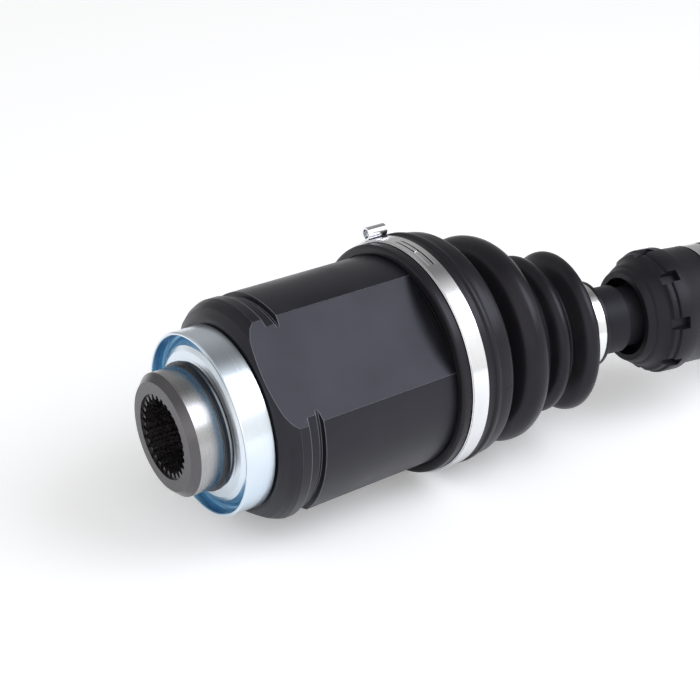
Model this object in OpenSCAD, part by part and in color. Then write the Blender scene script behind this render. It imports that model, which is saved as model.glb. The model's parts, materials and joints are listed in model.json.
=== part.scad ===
// Car half-shaft: plunging tripod joint, bar shaft with damper, fixed ball joint.
// X runs along the inner housing from its splined stub, Z is up, millimetres.

/* [Layout] */
// Distance from the stub's end face to the inner joint's centre
joint_x = 80; // [78:1:84]
// Angle that the bar shaft is turned towards the front at rest, degrees
rest_bend = 12; // [0:1:14]
// Distance between the two joint centres
joint_span = 430; // [380:10:520]

/* [Inner stub] */
// Outer radius of the machined stub
stub_r = 22.3; // [21:0.1:23]
// Chamfer on the stub's end
stub_chamfer = 2.6; // [1:0.5:4]
// Length of the stub up to the housing's front face
stub_len = 25; // [24.8:0.1:28]
// Distance from the stub's end to the groove of the cover's retaining ring
ring_groove_x = 11.8; // [9:0.1:12]
// Width of that groove
ring_groove_w = 1.4; // [1:0.1:1.6]
// Depth of that groove
ring_groove_depth = 0.9; // [0.5:0.1:1.2]
// Depth of the splined socket
socket_depth = 24; // [18:1:26]
// Radius of the plain lead-in at the socket's mouth
pilot_r = 15.4; // [15.3:0.1:15.8]
// Length of the plain lead-in
pilot_len = 0.8; // [0.6:0.1:2]
// Teeth of the socket's spline
socket_teeth = 28; // [24:1:32]
// Radius at the bottom of the socket's teeth
socket_root_r = 15.2; // [14.8:0.1:15.3]
// Depth of a socket tooth
socket_tooth = 2; // [1:0.1:2]

/* [Dust cover] */
// Outer radius of the cover's rim
cover_r = 33.4; // [31:0.2:35]
// Distance from the stub's end to the cover's rim
cover_front = 13.5; // [11:0.5:14]
// Length of the cover along the stub
cover_len = 10.8; // [10:0.2:11]
// Sheet thickness of the cover
cover_sheet = 1.2; // [0.8:0.1:1.6]
// Depth from the cover's rim to the edge of its plate
cover_dish = 5; // [3:0.5:6.5]
// Height of the cover's retaining ring above the stub
keeper_height = 1.1; // [0.8:0.1:1.4]

/* [Tripod housing] */
// Radius of the three lobes
lobe_r = 41; // [40:0.5:42]
// Distance from the axis to the three flats
flat_distance = 36; // [35:0.5:37]
// Direction of the first lobe from straight up towards the front, degrees
lobe_phase = 105; // [90:5:120]
// Total length from the stub's end to the housing's open mouth
housing_end = 116; // [114:1:120]
// Run-out of the roller tracks behind the rollers' last place
track_runout = 8; // [7:0.5:9]
// Radius of the cavity between the tracks
cavity_r = 24; // [23.5:0.5:26]
// Radius of the coned mouth
mouth_r = 30.5; // [30:0.5:31]
// Length of the coned mouth
mouth_len = 24; // [20:1:30]
// Length over which the nose is turned down
nose_len = 5.5; // [4:0.5:8]
// Radius of the nose at its front
nose_r = 35.8; // [35:0.2:38]
// Distance from the stub's end to the turned groove across the lobes
groove_x = 34.2; // [33.6:0.2:35]
// Width of the turned groove
groove_w = 5.6; // [4:0.2:6]
// Depth of the turned groove
groove_depth = 1.8; // [1:0.2:2]

/* [Tripod] */
// Distance from the axis to the middle of a roller
roller_pitch = 24; // [23.5:0.1:24.5]
// Radius of a roller's barrel face
roller_r = 16; // [15.5:0.1:16.3]
// Width of a roller
roller_w = 12; // [11:0.5:13]
// Gap between a roller and each flank of its track
flank_gap = 0.7; // [0.6:0.05:0.9]
// Radius of a trunnion
trunnion_r = 8.5; // [8:0.1:9]
// Diameter of a needle
needle_d = 2; // [1.6:0.1:2.2]
// Needles round one trunnion
needle_count = 24; // [18:1:26]
// Radius of the spider's hub
hub_r = 17; // [16.5:0.1:17.5]
// Length of the spider's hub along the shaft
hub_len = 24; // [20:1:26]
// Travel of the plunge each way
plunge = 15; // [10:1:15]

/* [Centring spring] */
// Radius of the cup that centres the shaft's end
cup_r = 8.4; // [8:0.2:9]
// Thickness of the cup at its rim
cup_len = 6; // [5:0.5:7]
// Radius of the ball end on the shaft
tip_r = 18; // [17.5:0.5:19]
// Wire diameter of the spring
wire_d = 1.6; // [1.2:0.2:2]
// Mean radius of the spring's coils
coil_r = 6.4; // [5.5:0.2:7]
// Turns of the spring
coil_turns = 7; // [5:1:8]
// Distance from the stub's end to the spring's seat
spring_seat = 31; // [29:0.5:33]

/* [Bar shaft] */
// Radius of the bar
bar_r = 13; // [12:0.5:13.5]
// Radius of the turned seats for the boots and the damper
seat_r = 13.6; // [13.5:0.1:14]
// Teeth of the splines at both ends of the bar
bar_teeth = 26; // [24:1:30]
// Tip radius of the bar's splines
bar_spline_r = 12.4; // [12:0.1:12.8]
// Tooth height of the bar's splines
bar_tooth = 1; // [0.8:0.1:1.2]

/* [Inner boot] */
// Distance from the stub's end to the boot's front lip
boot_front = 96.5; // [95:0.5:98]
// Length of the boot's large cuff
cuff_len = 15; // [12:1:17]
// Gap between the housing's lobes and the cuff around them
cuff_over = 1; // [0.8:0.1:1.4]
// Rubber thickness of the cuffs
cuff_wall = 2.6; // [2:0.2:3]
// Rubber thickness of the folds
fold_wall = 2; // [1.6:0.2:2.6]
// Distance from the inner joint's centre to the end of the small cuff
boot_tail = 102.4; // [101:0.2:104]
// Length of the small cuff
tail_len = 11; // [10:0.5:13]
// Outer radius of the small cuff's lip
tail_r = 17; // [16.6:0.1:18]

/* [Band clamps] */
// Width of the large bands
band_w = 7.5; // [6:0.5:9]
// Width of the small bands
small_band_w = 6; // [5:0.5:7]
// Thickness of the bands
band_t = 0.7; // [0.5:0.1:1]
// Distance from the outer boot's edge to its large band
clamp_inset = 3.5; // [2:0.5:5]
// Radius of the rolled ear
ear_r = 2.5; // [2.2:0.1:3.2]
// Direction of the inner ear from straight up towards the front, degrees
ear_phase = -25; // [-60:5:60]

/* [Damper] */
// Distance from the inner joint's centre to the damper's collar
damper_x = 119; // [117:1:130]
// Length of the damper
damper_len = 48; // [44:1:60]
// Outer radius of the damper
damper_r = 25.2; // [24.6:0.2:27]
// Outer radius of the damper's collar
collar_r = 18.6; // [18:0.1:19.2]
// Radius of the recess inside the collar
recess_r = 15.8; // [15.4:0.1:16]
// Depth of the recess inside the collar
recess_depth = 7; // [5:0.5:9]
// Wall of the iron ring inside the damper
mass_wall = 4.4; // [3:0.2:5]
// Length of the iron ring
mass_len = 19; // [16:1:20]
// Length of the damper's flange
flange_len = 7; // [5:1:10]
// Width of the notches
notch_w = 4.4; // [3:0.2:6]
// Length of the notches along the shaft
notch_len = 7; // [5:0.5:8]
// Locator notches round the damper's step
notch_count = 8; // [6:1:12]

/* [Ball joint] */
// Radius of the circle through the balls' middles
ball_pitch = 28.8; // [28.5:0.1:29]
// Radius of a ball
ball_r = 8.7; // [8.4:0.1:8.8]
// Radius of the inner race's ball-shaped face
race_r = 26.1; // [25.8:0.1:26.3]
// Radius of the cage's outer face
cage_r = 31.2; // [31:0.1:31.4]
// Half width of the cage along the shaft
cage_half = 12.5; // [12:0.5:13]
// Gap between the ball-shaped faces
sphere_gap = 0.15; // [0.1:0.05:0.2]
// Side play of a ball in its groove
groove_play = 0.8; // [0.75:0.05:0.9]
// Radius of the bell under the boot
bell_seat_r = 42; // [41.8:0.1:42.2]
// Largest radius of the bell
bell_r = 45.3; // [45:0.1:46]

/* [Outer boot] */
// Length of the outer boot up to the outer joint's centre
outer_boot_len = 104; // [100:1:112]

/* [Outer stub] */
// Radius of the journal behind the bell
journal_r = 19; // [17:0.5:21]
// Length of the journal
journal_len = 11; // [8:1:14]
// Tip radius of the hub spline
hub_spline_r = 14; // [13:0.1:15]
// Length of the hub spline
hub_spline_len = 38; // [30:1:44]
// Teeth of the hub spline
hub_teeth = 28; // [24:1:30]
// Radius of the threaded end
thread_r = 11; // [10:0.5:12]
// Length of the threaded end
thread_len = 22; // [18:1:26]

/* [Hidden] */
$fn = 96;
fit = 0.05;
pivot_gap = 0.15;
seat_gap = 0.3;
over = 1;
front_face = stub_len;
nose_rise = lobe_r - nose_r;
cuff_r = lobe_r + cuff_over + cuff_wall;
outer_cuff_r = bell_seat_r + cuff_wall;
groove_floor = 0.7 * groove_depth;
groove_end = groove_x + groove_w;
cavity_start = joint_x - plunge - roller_r - track_runout;
track_half = roller_r + flank_gap;
washer_t = 1;
washer_r = 13;
needle_pitch = trunnion_r + needle_d / 2 + fit;
roller_bore = needle_pitch + needle_d / 2 + fit;
roller_top = roller_pitch + roller_w / 2;
trunnion_top = roller_top + washer_t + 1.2;
track_top = trunnion_top + 1.8;
cup_front = joint_x - tip_r - pivot_gap;
cup_lip = 0.5;
spline_over = 2.2;
boot_sides = 48;
race_half = 11;
bell_mouth = 16;
bell_back = 40;
balls = 6;
groove_r = ball_r + 0.12;
window_half = ball_r + 1;
groove_half_angle = 45;

module along_x() rotate([0, 90, 0]) children();
module at_joint() translate([joint_x, 0, 0]) rotate([0, 0, -rest_bend]) children();
module at_ball_joint() at_joint() translate([joint_span, 0, 0]) children();
// A flat shape with its radius along X and its length along Y, turned about the X axis
module spun() rotate([0, 90, 0]) rotate_extrude() children();
// A closed outline of [x, r] points turned about the X axis
function swapped(outline) = [for (p = outline) [p[1], p[0]]];
module turned(outline) spun() polygon(swapped(outline));
module disc(x, len, r) translate([x, 0, 0]) along_x() cylinder(h = len, r = r);
module ring(x, len, r_out, r_in) difference() {
    disc(x, len, r_out);
    disc(x - over, len + 2 * over, r_in);
}

// Outline of a spline with straight-sided teeth, base and crest being shares of the pitch
function spline_points(teeth, root, tip, base = 0.30, crest = 0.17) = [for (i = [0:teeth - 1],
    c = [[root, -base], [tip, -crest], [tip, crest], [root, base]])
    let (a = 360 * (i + c[1]) / teeth) [c[0] * cos(a), c[0] * sin(a)]];
module male_spline(x, len, teeth, tip, height) translate([x, 0, 0]) along_x()
    linear_extrude(len) polygon(spline_points(teeth, tip - height, tip));
// The hollow that a male spline of the same numbers slides into
module female_spline(x, len, teeth, tip, height) translate([x, 0, 0]) along_x()
    linear_extrude(len) polygon(spline_points(teeth, tip - height + fit, tip + fit, 0.33, 0.20));

// Directions of the three lobes in a section across the X axis
lobe_angles = [for (i = [0:2]) 180 + lobe_phase + 120 * i];
module lobed_outline(r, flat) difference() {
    circle(r = r);
    for (a = lobe_angles) rotate(a + 60) translate([flat, -r]) square([r, 2 * r]);
}
module track_outline() intersection() {
    circle(r = 36.5);
    for (a = lobe_angles) rotate(a) translate([0, -track_half]) square([track_top, 2 * track_half]);
}

module tulip_housing() color([0.13, 0.13, 0.15]) difference() {
    union() {
        turned([[0, 0], [0, stub_r - stub_chamfer], [stub_chamfer, stub_r], [ring_groove_x, stub_r],
            [ring_groove_x, stub_r - ring_groove_depth],
            [ring_groove_x + ring_groove_w, stub_r - ring_groove_depth],
            [ring_groove_x + ring_groove_w, stub_r], [stub_len + over, stub_r], [stub_len + over, 0]]);
        intersection() {
            translate([front_face, 0, 0]) along_x()
                linear_extrude(housing_end - front_face) lobed_outline(lobe_r, flat_distance);
            turned([[front_face, 0], [front_face, nose_r - 1], [front_face + 0.4, nose_r],
                [front_face + 0.35 * nose_len, nose_r + 0.55 * nose_rise],
                [front_face + 0.68 * nose_len, nose_r + 0.85 * nose_rise],
                [front_face + nose_len, lobe_r], [groove_x, lobe_r],
                [groove_x + 0.4, lobe_r - groove_floor], [groove_end - 1.7, lobe_r - groove_floor],
                [groove_end - 1.5, lobe_r - groove_depth], [groove_end - 0.4, lobe_r - groove_depth],
                [groove_end, lobe_r], [housing_end - 1, lobe_r], [housing_end, lobe_r - 1],
                [housing_end, 0]]);
        }
    }
    disc(-over, pilot_len + over, pilot_r);
    socket();
    disc(spring_seat, cavity_start - spring_seat + over, cup_r + 0.8);
    disc(cavity_start, housing_end - cavity_start + over, cavity_r);
    translate([cavity_start, 0, 0]) along_x() linear_extrude(housing_end) track_outline();
    translate([housing_end - mouth_len, 0, 0]) along_x()
        cylinder(h = mouth_len + 0.01, r1 = cavity_r, r2 = mouth_r);
}
module socket() translate([pilot_len - 0.01, 0, 0]) along_x() linear_extrude(socket_depth - pilot_len)
    polygon(spline_points(socket_teeth, socket_root_r - socket_tooth, socket_root_r, 0.38, 0.12));

// Bores and inner faces of the cover: sleeve on the stub, dished plate, rim
sleeve_r = stub_r + fit;
rim_in = cover_r - cover_sheet;
cover_back = cover_front + cover_len;
plate_back = cover_front + cover_sheet;
module dust_cover() color([0.72, 0.78, 0.84]) turned([
    [cover_front, rim_in + 0.3], [cover_front, cover_r - 0.4], [cover_front + 0.4, cover_r],
    [cover_back, cover_r], [cover_back, rim_in],
    [plate_back + cover_dish, rim_in], [plate_back + cover_dish, rim_in - 2],
    [plate_back + 0.6 * cover_dish, rim_in - 4.2], [plate_back + 0.42 * cover_dish, rim_in - 5.8],
    [plate_back + 0.3 * cover_dish, sleeve_r + cover_sheet], [cover_back, sleeve_r + cover_sheet],
    [cover_back, sleeve_r], [cover_front + 0.6, sleeve_r], [cover_front + 0.6, sleeve_r + 0.7],
    [cover_front + 0.2 * cover_dish, sleeve_r + 1.8], [cover_front + 0.32 * cover_dish, rim_in - 5.6],
    [cover_front + 0.48 * cover_dish, rim_in - 4], [cover_front + 0.88 * cover_dish, rim_in - 2.4],
    [cover_front + cover_dish, rim_in - 1.2], [cover_front + 0.95 * cover_dish, rim_in - 0.4],
    [cover_front + 0.8 * cover_dish, rim_in], [cover_front + 0.3, rim_in]]);
module cover_retaining_ring() color([0.25, 0.25, 0.27]) rotate([90, 0, 0])
    snap_ring(ring_groove_x + fit, ring_groove_w - 2 * fit, stub_r + keeper_height,
        stub_r - ring_groove_depth + fit);

adapter_front = boot_front + 0.8;
adapter_r = (cuff_r - cuff_wall) * cos(180 / boot_sides) - fit;
module cuff_adapter() color([0.10, 0.10, 0.11]) difference() {
    translate([adapter_front, 0, 0]) along_x() linear_extrude(cuff_len - 1.6) difference() {
        circle(r = adapter_r);
        lobed_outline(lobe_r + fit, flat_distance + fit);
    }
    for (r = [flat_distance + 2.4, flat_distance + 4.1]) ring(adapter_front - over, over + 0.6, r, r - 0.6);
}

// A point of the inner boot: share of the rest bend, distance from the joint's centre, radius, angle
function boot_point(p, a) = let (b = -rest_bend * p[0], s = p[1], r = p[2])
    [joint_x + s * cos(b) - r * sin(a) * sin(b), s * sin(b) + r * sin(a) * cos(b), r * cos(a)];
cuff_s = boot_front - joint_x;
tail_s = boot_tail - tail_len;
// Crests and valleys of the folds: share of the bend, distance, radius
folds = [[0.00, cuff_s + cuff_len + 1, cuff_r], [0.00, cuff_s + cuff_len + 2, cuff_r + 1],
    [0.08, 40.5, cuff_r - 0.2], [0.14, 42, 41.5], [0.20, 43.6, 35.5], [0.26, 45.6, 33.5],
    [0.32, 48, 35], [0.41, 52, 39.2], [0.53, 57.5, 40.6], [0.63, 62.6, 38.4], [0.69, 65.8, 33],
    [0.73, 67.8, 28.6], [0.76, 69.2, 28], [0.80, 71.2, 30], [0.84, 73.6, 31.2], [0.88, 76.2, 30.2],
    [0.91, 78.2, 26.8], [0.93, 79.6, 25.4], [0.95, 81, 26.6], [0.97, 83.4, 30.4], [0.98, 86, 31.6],
    [0.99, 88.4, 30.6], [1.00, 90.4, 26.5], [1.00, 91.4, 20]];
boot_outside = concat([[0, cuff_s, cuff_r - 0.6], [0, cuff_s + 0.6, cuff_r]], folds,
    [[1, tail_s + 1.4, tail_r - 0.6], [1, boot_tail, tail_r - 0.6]]);
boot_inside = concat([[1, boot_tail, seat_r + fit], [1, tail_s + 1, seat_r + fit]],
    [for (i = [len(folds) - 1:-1:1]) [folds[i][0], folds[i][1], folds[i][2] - fold_wall]],
    [[0, cuff_s + cuff_len + 1.5, cuff_r - cuff_wall], [0, cuff_s, cuff_r - cuff_wall]]);
module inner_boot() color([0.09, 0.09, 0.10]) {
    loop = concat(boot_outside, boot_inside);
    count = len(loop);
    polyhedron([for (p = loop, i = [0:boot_sides - 1]) boot_point(p, 360 * i / boot_sides)],
        [for (j = [0:count - 1], i = [0:boot_sides - 1])
            let (k = (j + 1) % count, n = (i + 1) % boot_sides)
            [j * boot_sides + i, j * boot_sides + n, k * boot_sides + n, k * boot_sides + i]]);
}

// A closed band with a rolled ear on a short foot, round the X axis
module band(x, width, r, phase, ear) {
    ring(x, width, r + band_t, r + fit);
    rotate([phase, 0, 0]) difference() {
        union() {
            translate([x + 0.2, 0, r + band_t + ear + 0.3]) along_x() cylinder(h = width - 0.4, r = ear);
            translate([x + 0.2, -ear / 2, r + band_t / 2]) cube([width - 0.4, ear, ear]);
        }
        translate([x - over, 0, r + band_t + ear + 0.3]) along_x()
            cylinder(h = width + 2 * over, r = ear - 0.9);
    }
}
module inner_boot_large_clamp() color([0.80, 0.80, 0.81])
    band(boot_front + 3.8, band_w, cuff_r, ear_phase, ear_r);
module inner_boot_small_clamp() color([0.80, 0.80, 0.81]) at_joint()
    band(boot_tail - small_band_w - 2, small_band_w, tail_r - 0.6, 150, 2);

spring_len = cup_front - cup_len - spring_seat;
function coil_point(t, a) = let (turn = 360 * coil_turns * t, r = coil_r + wire_d / 2 * cos(a))
    [spring_seat + wire_d / 2 + t * (spring_len - wire_d) + wire_d / 2 * sin(a),
        r * cos(turn), r * sin(turn)];
module centring_spring() color([0.45, 0.45, 0.47]) {
    steps = coil_turns * 16;
    sides = 6;
    polyhedron([for (j = [0:steps], i = [0:sides - 1]) coil_point(j / steps, -360 * i / sides)],
        concat([for (j = [0:steps - 1], i = [0:sides - 1]) let (n = (i + 1) % sides)
            [j * sides + i, j * sides + n, (j + 1) * sides + n, (j + 1) * sides + i]],
            [[for (i = [sides - 1:-1:0]) i]], [[for (i = [0:sides - 1]) steps * sides + i]]));
}
module spring_cup() color([0.55, 0.55, 0.56]) difference() {
    disc(cup_front - cup_len, cup_len + cup_lip, cup_r);
    translate([joint_x, 0, 0]) sphere(r = tip_r + pivot_gap);
}

// Places its children on a trunnion, with +Z pointing outwards
module on_trunnion(i) rotate([lobe_phase + 120 * i, 0, 0]) children();
module tripod_spider() color([0.50, 0.50, 0.52]) at_joint() difference() {
    union() {
        turned([[-hub_len / 2, 0], [-hub_len / 2, hub_r - 2], [2 - hub_len / 2, hub_r],
            [hub_len / 2 - 2, hub_r], [hub_len / 2, hub_r - 2], [hub_len / 2, 0]]);
        for (i = [0:2]) on_trunnion(i) {
            cylinder(h = trunnion_top, r = trunnion_r);
            cylinder(h = roller_top - roller_w - 0.3, r = trunnion_r + 2.4);
        }
    }
    for (i = [0:2]) on_trunnion(i) translate([0, 0, roller_top + 0.1]) difference() {
        cylinder(h = washer_t + 0.1, r = trunnion_r + over);
        translate([0, 0, -over]) cylinder(h = washer_t + 2 * over, r = trunnion_r - 0.7);
    }
    female_spline(-hub_len / 2 - over, hub_len + 2 * over, bar_teeth, bar_spline_r, bar_tooth);
}
module tripod_roller(i) color([0.62, 0.62, 0.64]) at_joint() on_trunnion(i)
    translate([0, 0, roller_pitch]) difference() {
        intersection() {
            sphere(r = roller_r);
            cylinder(h = roller_w, r = roller_r + over, center = true);
        }
        cylinder(h = roller_w + over, r = roller_bore, center = true);
    }
module needle_rollers() color([0.70, 0.70, 0.72]) at_joint()
    for (i = [0:2], k = [0:needle_count - 1]) on_trunnion(i) rotate([0, 0, 360 * k / needle_count])
        translate([needle_pitch, 0, roller_pitch - roller_w / 2 + 0.4])
            cylinder(h = roller_w - 0.8, r = needle_d / 2, $fn = 16);
module roller_retainers() color([0.40, 0.40, 0.42]) at_joint() for (i = [0:2]) on_trunnion(i)
    translate([0, 0, roller_top + 0.15]) difference() {
        cylinder(h = washer_t, r = washer_r);
        translate([0, 0, -over]) cylinder(h = washer_t + 2 * over, r = trunnion_r - 0.6);
    }
// An open wire ring in a groove, with its gap at the bottom
module snap_ring(x, width, r_out, r_in) difference() {
    ring(x, width, r_out, r_in);
    translate([x - over, -2, -r_out - over]) cube([width + 2 * over, 4, r_out]);
}
module spider_circlip() color([0.35, 0.35, 0.37]) at_joint()
    snap_ring(-hub_len / 2 - 1.8, 1.6, bar_spline_r + 1.6, bar_spline_r - 1.35);

module axle_shaft() color([0.12, 0.12, 0.13]) at_joint() difference() {
    union() {
        male_spline(-hub_len / 2 - spline_over, hub_len + spline_over + 4,
            bar_teeth, bar_spline_r, bar_tooth);
        intersection() {
            sphere(r = tip_r);
            disc(-tip_r, tip_r - hub_len / 2 - 1, bar_spline_r - bar_tooth - 0.4);
        }
        turned([[hub_len / 2 + seat_gap, 0], [hub_len / 2 + seat_gap, bar_spline_r + 1],
            [hub_len / 2 + 3, bar_spline_r + 1], [hub_len / 2 + 7, bar_r - 1],
            [tail_s - 8, bar_r - 1], [tail_s - 4, seat_r], [boot_tail + 6, seat_r],
            [damper_x - 5, seat_r], [damper_x - 4.4, bar_r - 1],
            [damper_x + recess_depth - 1.4, bar_r - 1], [damper_x + recess_depth - 0.8, seat_r],
            [damper_x + damper_len + 6, seat_r],
            [damper_x + damper_len + 12, bar_r], [outer_tail - 6, bar_r], [outer_tail - 2, seat_r],
            [outer_tail + tail_len + 3, seat_r], [outer_tail + tail_len + 8, bar_r - 1],
            [joint_span - race_half - 8, bar_r - 1], [joint_span - race_half - 4, bar_spline_r + 1],
            [joint_span - race_half - seat_gap, bar_spline_r + 1], [joint_span - race_half - seat_gap, 0]]);
        male_spline(joint_span - race_half - 4, 2 * race_half + 8, bar_teeth, bar_spline_r, bar_tooth);
    }
    ring(-hub_len / 2 - 1.9, 1.8, bar_spline_r + over, bar_spline_r - 1.4);
    ring(joint_span + race_half + 0.1, 1.8, bar_spline_r + over, bar_spline_r - 1.4);
}

step_x = damper_x + 14;
clamp_seat_x = damper_x + 33;
clamp_seat_len = 8;
clamp_seat_r = damper_r - 2.2;
tail_body_r = damper_r - 1.6;
mass_x = damper_x + 12;
mass_r = damper_r - 3.6;
mass_bore = mass_r - mass_wall;
flange_back = step_x + 1 + flange_len;
module damper_rubber() color([0.11, 0.11, 0.12]) at_joint() difference() {
    turned([[damper_x, recess_r], [damper_x, collar_r], [damper_x + 3, collar_r + 0.9],
        [damper_x + 4, damper_r - 4.6], [damper_x + 6.5, damper_r - 3.6], [damper_x + 8.5, damper_r - 1.1],
        [step_x, damper_r - 1.1], [step_x + 1, damper_r], [flange_back, damper_r],
        [flange_back + 3, damper_r - 1.4], [clamp_seat_x, tail_body_r], [clamp_seat_x, clamp_seat_r],
        [clamp_seat_x + clamp_seat_len, clamp_seat_r], [clamp_seat_x + clamp_seat_len, tail_body_r],
        [damper_x + damper_len - 2, tail_body_r], [damper_x + damper_len, tail_body_r - 2],
        [damper_x + damper_len, seat_r + fit], [damper_x + recess_depth, seat_r + fit],
        [damper_x + recess_depth, recess_r]]);
    for (k = [0:notch_count - 1]) rotate([360 * (k + 0.73) / notch_count, 0, 0])
        translate([step_x - 3, -notch_w / 2, damper_r - 2.6]) cube([notch_len, notch_w, 4]);
    ring(mass_x - fit, mass_len + 2 * fit, mass_r + fit, mass_bore - fit);
}
module damper_mass() color([0.45, 0.45, 0.47]) at_joint() ring(mass_x, mass_len, mass_r, mass_bore);
module damper_clamp() color([0.82, 0.82, 0.83]) at_joint()
    band(clamp_seat_x + 0.5, clamp_seat_len - 1, clamp_seat_r, 20, 2);

outer_tail = joint_span - outer_boot_len;
outer_cuff = joint_span - bell_mouth + 2;
module outer_boot() color([0.09, 0.09, 0.10]) at_joint() difference() {
    boot_shell(0);
    boot_shell(fold_wall);
    disc(outer_tail - over, tail_len + 4, seat_r + fit);
    disc(outer_cuff, bell_mouth, bell_seat_r + fit);
}
// Fold crests and valleys: share of the boot's length before the joint's centre, radius
outer_folds = [[0.884615, 18], [0.855769, 20], [0.826923, 27], [0.802885, 29], [0.778846, 27],
    [0.754808, 22], [0.730769, 27], [0.701923, 32.2], [0.677885, 33], [0.653846, 31], [0.625000, 25],
    [0.596154, 31], [0.562500, 37], [0.538462, 37.8], [0.509615, 36], [0.471154, 29], [0.432692, 36],
    [0.394231, 41.5], [0.365385, 42.4], [0.331731, 41], [0.278846, 35], [0.240385, 38], [0.192308, 43],
    [0.153846, outer_cuff_r]];
module boot_shell(wall) turned(concat(
    [[outer_tail + wall * 4, 0], [outer_tail + wall * 4, tail_r - 0.6 - wall],
        [outer_tail + tail_len, tail_r - 0.6 - wall]],
    [for (f = outer_folds) [joint_span - f[0] * outer_boot_len, f[1] - wall]],
    [[joint_span + wall, outer_cuff_r - wall], [joint_span + wall, 0]]));
module outer_boot_small_clamp() color([0.80, 0.80, 0.81]) at_joint()
    band(outer_tail + 2.5, small_band_w, tail_r - 0.6, 200, 2);
module outer_boot_large_clamp() color([0.80, 0.80, 0.81]) at_joint()
    band(joint_span - band_w - clamp_inset, band_w, outer_cuff_r, 20, ear_r);

// The path of a ball: a round groove about the joint's centre, with side play
module ball_groove(i) rotate([360 * (i + 0.5) / balls, 0, 0]) rotate([90, 0, 0])
    rotate([0, 0, 90 - groove_half_angle]) rotate_extrude(angle = 2 * groove_half_angle) {
        for (side = [-1, 1]) translate([ball_pitch, side * groove_play]) circle(r = groove_r);
        translate([ball_pitch - groove_r, -groove_play]) square([2 * groove_r, 2 * groove_play]);
    }
// A flat half disc of a ball, cut off at the given half width
module half_disc(r, half) intersection() {
    circle(r = r);
    translate([0, -half]) square([r + over, 2 * half]);
}
module ball_race() color([0.55, 0.55, 0.57]) at_ball_joint() difference() {
    spun() half_disc(race_r, race_half);
    for (i = [0:balls - 1]) ball_groove(i);
    female_spline(-race_half - over, 2 * (race_half + over), bar_teeth, bar_spline_r, bar_tooth);
}
module race_retaining_ring() color([0.35, 0.35, 0.37]) at_ball_joint()
    snap_ring(race_half + 0.2, 1.6, bar_spline_r + 1.2, bar_spline_r - 1.35);
module ball_cage() color([0.48, 0.48, 0.50]) at_ball_joint() difference() {
    spun() difference() {
        half_disc(cage_r, cage_half);
        circle(r = race_r + sphere_gap);
    }
    for (i = [0:balls - 1]) rotate([360 * (i + 0.5) / balls, 0, 0])
        translate([-ball_r - fit, -window_half, race_r - 8])
            cube([2 * (ball_r + fit), 2 * window_half, 20]);
}
module joint_balls() color([0.78, 0.78, 0.80]) at_ball_joint() for (i = [0:balls - 1])
    rotate([360 * (i + 0.5) / balls, 0, 0]) translate([0, 0, ball_pitch]) sphere(r = ball_r);
spline_x = bell_back + journal_len + 2;
thread_x = spline_x + hub_spline_len + 2;
module ball_joint_bell() color([0.30, 0.30, 0.32]) at_ball_joint() difference() {
    union() {
        spun() difference() {
            polygon(swapped([[-bell_mouth, 0], [-bell_mouth, bell_seat_r - 1],
                [1 - bell_mouth, bell_seat_r],
                [4, bell_seat_r], [4, bell_r], [21, bell_r], [27, bell_r - 3], [33, bell_r - 13],
                [bell_back - 2, bell_r - 17], [bell_back, bell_r - 18], [bell_back, journal_r],
                [bell_back + journal_len, journal_r], [spline_x, hub_spline_r - 1.6],
                [thread_x, hub_spline_r - 1.6], [thread_x, thread_r],
                [thread_x + thread_len - 1.5, thread_r], [thread_x + thread_len, thread_r - 1.5],
                [thread_x + thread_len, 0]]));
            circle(r = cage_r + sphere_gap);
            polygon(swapped([[-bell_mouth - over, 0], [-bell_mouth - over, 36], [-8, 28], [-8, 0]]));
        }
        male_spline(spline_x + 1, hub_spline_len, hub_teeth, hub_spline_r, 1.4);
    }
    for (i = [0:balls - 1]) ball_groove(i);
}

tulip_housing();
dust_cover();
cover_retaining_ring();
cuff_adapter();
inner_boot();
inner_boot_large_clamp();
inner_boot_small_clamp();
centring_spring();
spring_cup();
tripod_spider();
tripod_roller(0);  // tripod_roller_1
tripod_roller(1);  // tripod_roller_2
tripod_roller(2);  // tripod_roller_3
needle_rollers();
roller_retainers();
spider_circlip();
axle_shaft();
damper_rubber();
damper_mass();
damper_clamp();
outer_boot();
outer_boot_small_clamp();
outer_boot_large_clamp();
race_retaining_ring();
ball_race();
ball_cage();
joint_balls();
ball_joint_bell();
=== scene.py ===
# %% [markdown]
# A car half-shaft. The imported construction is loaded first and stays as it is: it gives the
# places, sizes and joints. Every later cell dresses one piece or one finish of it.

# %% Load the frame
import json
import math
from functools import partial

import bmesh
import bpy
from mathutils import Matrix, Vector


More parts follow.
